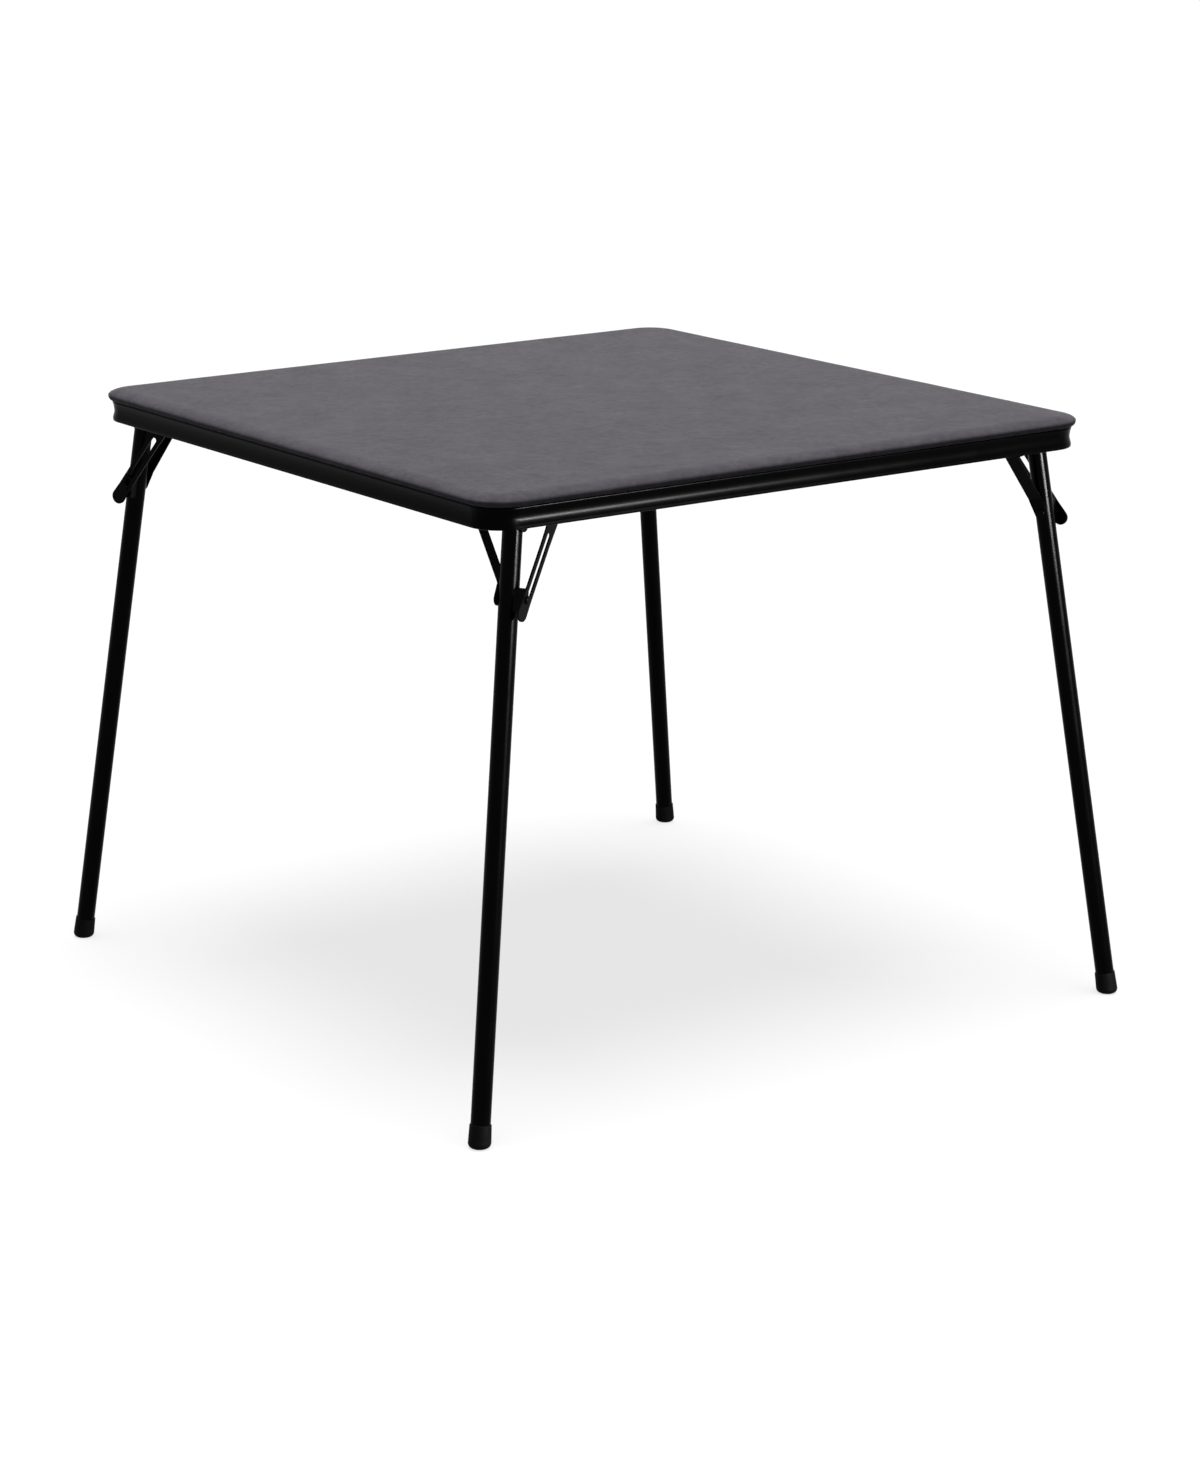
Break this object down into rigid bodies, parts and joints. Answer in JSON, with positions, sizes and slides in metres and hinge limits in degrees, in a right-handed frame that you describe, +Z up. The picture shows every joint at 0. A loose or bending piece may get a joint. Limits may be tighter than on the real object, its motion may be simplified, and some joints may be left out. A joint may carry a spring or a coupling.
{
  "type": "folding card table",
  "caption": "Square folding card table with a padded dark grey vinyl top, a black steel rail and splayed folding tubular legs on slotted lock links.",
  "frame": {"origin": "on the floor under the middle of the square top", "axes": "+Z up, +X to the right and +Y to the back along the sides of the top; front left is the corner nearest the picture's camera"},
  "size_m": [0.9462, 0.9462, 0.705],
  "materials": {
    "cover_vinyl": "soft matte grained vinyl",
    "foam": "open foam",
    "hardboard": "pressed hardboard",
    "rail_enamel": "gloss black enamel",
    "leg_enamel": "gloss black enamel",
    "satin_black_steel": "satin black enamel",
    "foot_rubber": "matte rubber",
    "plated_steel": "dark plated"
  },
  "bodies": {
    "table_top": {"vinyl_cover": "cover_vinyl", "foam_pad": "foam", "top_board": "hardboard", "rail_frame": "rail_enamel", "board_screws": "plated_steel", "cover_staples": "plated_steel", "hinge_bracket_front_left": "satin_black_steel", "leg_hinge_rivet_front_left": "satin_black_steel", "strap_hinge_rivet_front_left": "satin_black_steel", "link_hanger_front_left": "satin_black_steel", "link_rivet_front_left": "satin_black_steel", "hinge_bracket_front_right": "satin_black_steel", "leg_hinge_rivet_front_right": "satin_black_steel", "strap_hinge_rivet_front_right": "satin_black_steel", "link_hanger_front_right": "satin_black_steel", "link_rivet_front_right": "satin_black_steel", "hinge_bracket_back_right": "satin_black_steel", "leg_hinge_rivet_back_right": "satin_black_steel", "strap_hinge_rivet_back_right": "satin_black_steel", "link_hanger_back_right": "satin_black_steel", "link_rivet_back_right": "satin_black_steel", "hinge_bracket_back_left": "satin_black_steel", "leg_hinge_rivet_back_left": "satin_black_steel", "strap_hinge_rivet_back_left": "satin_black_steel", "link_hanger_back_left": "satin_black_steel", "link_rivet_back_left": "satin_black_steel"},
    "leg_front_left": {"leg_tube_front_left": "leg_enamel", "foot_cap_front_left": "foot_rubber", "leg_strap_front_left": "satin_black_steel", "strap_rivet_front_left": "satin_black_steel", "lock_clip_front_left": "satin_black_steel"},
    "link_front_left": {"lock_link_front_left": "satin_black_steel"},
    "pin_front_left": {"lock_pin_front_left": "satin_black_steel"},
    "leg_front_right": {"leg_tube_front_right": "leg_enamel", "foot_cap_front_right": "foot_rubber", "leg_strap_front_right": "satin_black_steel", "strap_rivet_front_right": "satin_black_steel", "lock_clip_front_right": "satin_black_steel"},
    "link_front_right": {"lock_link_front_right": "satin_black_steel"},
    "pin_front_right": {"lock_pin_front_right": "satin_black_steel"},
    "leg_back_right": {"leg_tube_back_right": "leg_enamel", "foot_cap_back_right": "foot_rubber", "leg_strap_back_right": "satin_black_steel", "strap_rivet_back_right": "satin_black_steel", "lock_clip_back_right": "satin_black_steel"},
    "link_back_right": {"lock_link_back_right": "satin_black_steel"},
    "pin_back_right": {"lock_pin_back_right": "satin_black_steel"},
    "leg_back_left": {"leg_tube_back_left": "leg_enamel", "foot_cap_back_left": "foot_rubber", "leg_strap_back_left": "satin_black_steel", "strap_rivet_back_left": "satin_black_steel", "lock_clip_back_left": "satin_black_steel"},
    "link_back_left": {"lock_link_back_left": "satin_black_steel"},
    "pin_back_left": {"lock_pin_back_left": "satin_black_steel"}
  },
  "joints": [
    {"name": "leg_fold_front_left", "type": "hinge", "parent": "table_top", "child": "leg_front_left", "pos_m": [-0.3707, -0.3885, 0.668], "axis": [0.4185, -0.9082, 0], "range_deg": [0, 99.12]},
    {"name": "link_swing_front_left", "type": "hinge", "parent": "table_top", "child": "link_front_left", "pos_m": [-0.32055, -0.39292, 0.6665], "axis": [0.4185, -0.9082, 0], "range_deg": [0, 126.84]},
    {"name": "pin_slide_front_left", "type": "slide", "parent": "link_front_left", "child": "pin_front_left", "axis": [0.5445, 0.2509, 0.8004], "range_m": [0, 0.06023]},
    {"name": "leg_fold_front_right", "type": "hinge", "parent": "table_top", "child": "leg_front_right", "pos_m": [0.3885, -0.3707, 0.668], "axis": [0.9082, 0.4185, 0], "range_deg": [0, 99.12]},
    {"name": "link_swing_front_right", "type": "hinge", "parent": "table_top", "child": "link_front_right", "pos_m": [0.39292, -0.32055, 0.6665], "axis": [0.9082, 0.4185, 0], "range_deg": [0, 126.84]},
    {"name": "pin_slide_front_right", "type": "slide", "parent": "link_front_right", "child": "pin_front_right", "axis": [-0.2509, 0.5445, 0.8004], "range_m": [0, 0.06023]},
    {"name": "leg_fold_back_right", "type": "hinge", "parent": "table_top", "child": "leg_back_right", "pos_m": [0.3707, 0.3885, 0.668], "axis": [-0.4185, 0.9082, 0], "range_deg": [0, 99.12]},
    {"name": "link_swing_back_right", "type": "hinge", "parent": "table_top", "child": "link_back_right", "pos_m": [0.32055, 0.39292, 0.6665], "axis": [-0.4185, 0.9082, 0], "range_deg": [0, 126.84]},
    {"name": "pin_slide_back_right", "type": "slide", "parent": "link_back_right", "child": "pin_back_right", "axis": [-0.5445, -0.2509, 0.8004], "range_m": [0, 0.06023]},
    {"name": "leg_fold_back_left", "type": "hinge", "parent": "table_top", "child": "leg_back_left", "pos_m": [-0.3885, 0.3707, 0.668], "axis": [-0.9082, -0.4185, 0], "range_deg": [0, 99.12]},
    {"name": "link_swing_back_left", "type": "hinge", "parent": "table_top", "child": "link_back_left", "pos_m": [-0.39292, 0.32055, 0.6665], "axis": [-0.9082, -0.4185, 0], "range_deg": [0, 126.84]},
    {"name": "pin_slide_back_left", "type": "slide", "parent": "link_back_left", "child": "pin_back_left", "axis": [0.2509, -0.5445, 0.8004], "range_m": [0, 0.06023]}
  ],
  "couplings": [
    {"joint": "link_swing_front_left", "follows": "leg_fold_front_left", "ratio": 1.2796},
    {"joint": "pin_slide_front_left", "follows": "leg_fold_front_left", "m_per_rad": 0.034808},
    {"joint": "link_swing_front_right", "follows": "leg_fold_front_right", "ratio": 1.2796},
    {"joint": "pin_slide_front_right", "follows": "leg_fold_front_right", "m_per_rad": 0.034808},
    {"joint": "link_swing_back_right", "follows": "leg_fold_back_right", "ratio": 1.2796},
    {"joint": "pin_slide_back_right", "follows": "leg_fold_back_right", "m_per_rad": 0.034808},
    {"joint": "link_swing_back_left", "follows": "leg_fold_back_left", "ratio": 1.2796},
    {"joint": "pin_slide_back_left", "follows": "leg_fold_back_left", "m_per_rad": 0.034808}
  ]
}
